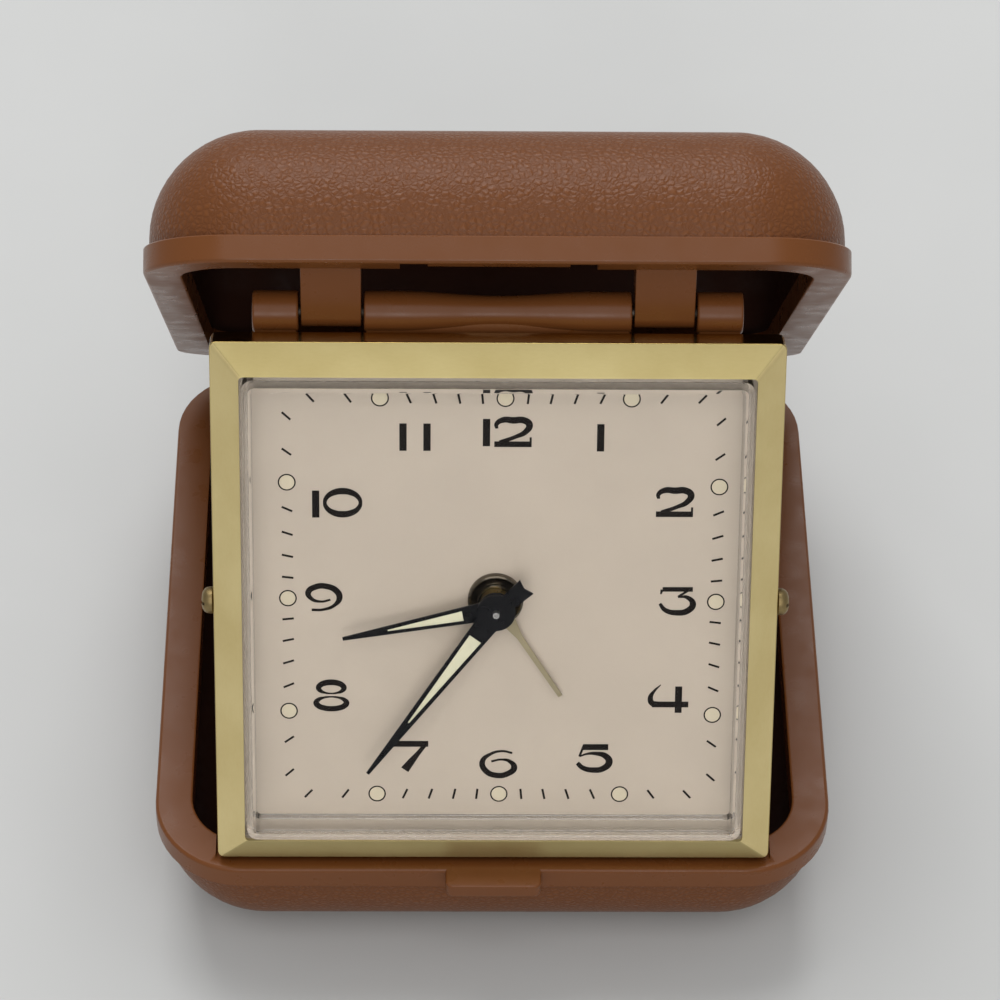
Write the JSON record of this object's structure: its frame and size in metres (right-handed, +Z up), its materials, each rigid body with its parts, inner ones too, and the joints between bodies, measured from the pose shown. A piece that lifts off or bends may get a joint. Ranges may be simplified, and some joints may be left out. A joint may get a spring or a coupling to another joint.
{
  "type": "folding travel alarm clock",
  "caption": "Folding travel alarm clock: a square dial with a brass bezel swings out of a brown clamshell case that stands as an A-frame.",
  "frame": {"origin": "middle of the lower shell's flat underside, on the surface it stands on", "axes": "+Z up, +Y from the front lip towards the case hinge, +X to the right as the dial is read"},
  "size_m": [0.085, 0.0982, 0.0938],
  "materials": {
    "case_plastic": "leather-grained brown moulding, satin",
    "pin_steel": "plain steel wire",
    "bezel_brass": "satin bevels, polished skirt",
    "screw_brass": "polished",
    "clear": "clear moulded crystal",
    "dial_cream": "cream enamel with printed numerals",
    "hand_black": "black gloss",
    "lume": "pale luminous paint",
    "alarm_brass": "aged",
    "movement_brass": "plain",
    "movement_steel": "plain",
    "spring_steel": "blued",
    "key_metal": "polished",
    "knob_metal": "fluted"
  },
  "bodies": {
    "base": {"lower_shell": "case_plastic", "case_hinge_pin": "pin_steel"},
    "lid": {"upper_shell": "case_plastic", "clock_hinge_pin": "pin_steel"},
    "clock": {"clock_housing": "case_plastic", "bezel": "bezel_brass", "side_screws": "screw_brass", "crystal": "clear", "dial": "dial_cream", "front_plate": "movement_brass", "back_plate": "movement_brass", "pillars": "movement_brass", "spacers": "movement_brass", "back_screws": "screw_brass", "gong": "movement_steel", "time_mainspring": "spring_steel", "alarm_mainspring": "spring_steel", "hairspring": "spring_steel"},
    "centre": {"centre_wheel": "movement_brass"},
    "minute_group": {"centre_arbor": "movement_steel", "minute_hand": "hand_black", "minute_hand_lume": "lume", "time_set_knob": "knob_metal"},
    "hour_group": {"hour_wheel": "movement_brass", "hour_hand": "hand_black", "hour_hand_lume": "lume"},
    "motion_wheel": {"minute_wheel": "movement_brass"},
    "third": {"third_wheel": "movement_brass"},
    "fourth": {"fourth_wheel": "movement_brass"},
    "escape": {"escape_wheel": "movement_brass"},
    "time_barrel": {"time_main_wheel": "movement_brass"},
    "alarm_barrel": {"alarm_main_wheel": "movement_brass"},
    "time_winder": {"time_key": "key_metal"},
    "alarm_winder": {"alarm_key": "key_metal"},
    "alarm_group": {"alarm_hand": "alarm_brass", "alarm_wheel": "movement_brass"},
    "alarm_setter": {"alarm_set_knob": "knob_metal"},
    "pallets": {"pallet_lever": "movement_steel"},
    "balance": {"balance_wheel": "movement_brass"},
    "striker": {"hammer": "movement_steel"},
    "stop_slide": {"alarm_stop": "movement_steel"},
    "rate_lever": {"regulator": "movement_steel"}
  },
  "joints": [
    {"name": "case_hinge", "type": "hinge", "parent": "base", "child": "lid", "pos_m": [0, 0.04423, 0.0182], "axis": [-1, 0, 0], "range_deg": [0, 61]},
    {"name": "clock_swing", "type": "hinge", "parent": "lid", "child": "clock", "pos_m": [0, -0.00475, 0.07815], "axis": [1, 0, 0], "range_deg": [0, 62.9]},
    {"name": "time_setting", "type": "hinge", "parent": "clock", "child": "minute_group", "pos_m": [0, -0.01757, 0.0448], "axis": [0, 0.8926, -0.4509], "continuous": true},
    {"name": "hour_turn", "type": "hinge", "parent": "clock", "child": "hour_group", "pos_m": [0, -0.01757, 0.0448], "axis": [0, 0.8926, -0.4509], "continuous": true},
    {"name": "motion_turn", "type": "hinge", "parent": "clock", "child": "motion_wheel", "pos_m": [0.00564, -0.0234, 0.04545], "axis": [0, 0.8926, -0.4509], "continuous": true},
    {"name": "escape_turn", "type": "hinge", "parent": "clock", "child": "escape", "pos_m": [-0.01049, -0.01324, 0.05337], "axis": [0, 0.8926, -0.4509], "continuous": true},
    {"name": "fourth_turn", "type": "hinge", "parent": "clock", "child": "fourth", "pos_m": [-0.00367, -0.01212, 0.05559], "axis": [0, 0.8926, -0.4509], "continuous": true},
    {"name": "third_turn", "type": "hinge", "parent": "clock", "child": "third", "pos_m": [0.00479, -0.01351, 0.05284], "axis": [0, 0.8926, -0.4509], "continuous": true},
    {"name": "centre_turn", "type": "hinge", "parent": "clock", "child": "centre", "pos_m": [0, -0.01757, 0.0448], "axis": [0, 0.8926, -0.4509], "continuous": true},
    {"name": "time_barrel_turn", "type": "hinge", "parent": "clock", "child": "time_barrel", "pos_m": [-0.01158, -0.02299, 0.0374], "axis": [0, 0.8926, -0.4509], "continuous": true},
    {"name": "alarm_barrel_turn", "type": "hinge", "parent": "clock", "child": "alarm_barrel", "pos_m": [0.0125, -0.02364, 0.0361], "axis": [0, 0.8926, -0.4509], "continuous": true},
    {"name": "time_winding", "type": "hinge", "parent": "clock", "child": "time_winder", "pos_m": [-0.01158, -0.02165, 0.03672], "axis": [0, 0.8926, -0.4509], "continuous": true},
    {"name": "alarm_winding", "type": "hinge", "parent": "clock", "child": "alarm_winder", "pos_m": [0.0125, -0.0223, 0.03543], "axis": [0, 0.8926, -0.4509], "continuous": true},
    {"name": "alarm_setting", "type": "hinge", "parent": "clock", "child": "alarm_setter", "pos_m": [0.0117, -0.01664, 0.04664], "axis": [0, 0.8926, -0.4509], "continuous": true},
    {"name": "alarm_hand_turn", "type": "hinge", "parent": "clock", "child": "alarm_group", "pos_m": [0, -0.02382, 0.04795], "axis": [0, 0.8926, -0.4509], "continuous": true},
    {"name": "pallet_swing", "type": "hinge", "parent": "clock", "child": "pallets", "pos_m": [-0.01606, -0.01456, 0.05075], "axis": [0, 0.8926, -0.4509], "range_deg": [-5, 5]},
    {"name": "balance_swing", "type": "hinge", "parent": "clock", "child": "balance", "pos_m": [-0.02172, -0.01591, 0.04808], "axis": [0, 0.8926, -0.4509], "range_deg": [-150, 150]},
    {"name": "hammer_swing", "type": "hinge", "parent": "clock", "child": "striker", "pos_m": [0.024, -0.01847, 0.04301], "axis": [0, 0.8926, -0.4509], "range_deg": [-2.2, 8]},
    {"name": "regulator_swing", "type": "hinge", "parent": "clock", "child": "rate_lever", "pos_m": [-0.02172, -0.01082, 0.04551], "axis": [0, 0.8926, -0.4509], "range_deg": [-16, 16]},
    {"name": "alarm_stop_slide", "type": "slide", "parent": "clock", "child": "stop_slide", "axis": [-1, 0, 0], "range_m": [0, 0.0024]}
  ],
  "couplings": [
    {"joint": "hour_turn", "follows": "time_setting", "ratio": 0.083333},
    {"joint": "motion_turn", "follows": "time_setting", "ratio": -0.33333},
    {"joint": "fourth_turn", "follows": "escape_turn", "ratio": -0.1},
    {"joint": "third_turn", "follows": "escape_turn", "ratio": 0.0125},
    {"joint": "centre_turn", "follows": "escape_turn", "ratio": -0.0016667},
    {"joint": "time_barrel_turn", "follows": "escape_turn", "ratio": 0.00027778},
    {"joint": "alarm_hand_turn", "follows": "alarm_setting", "ratio": -0.5}
  ]
}
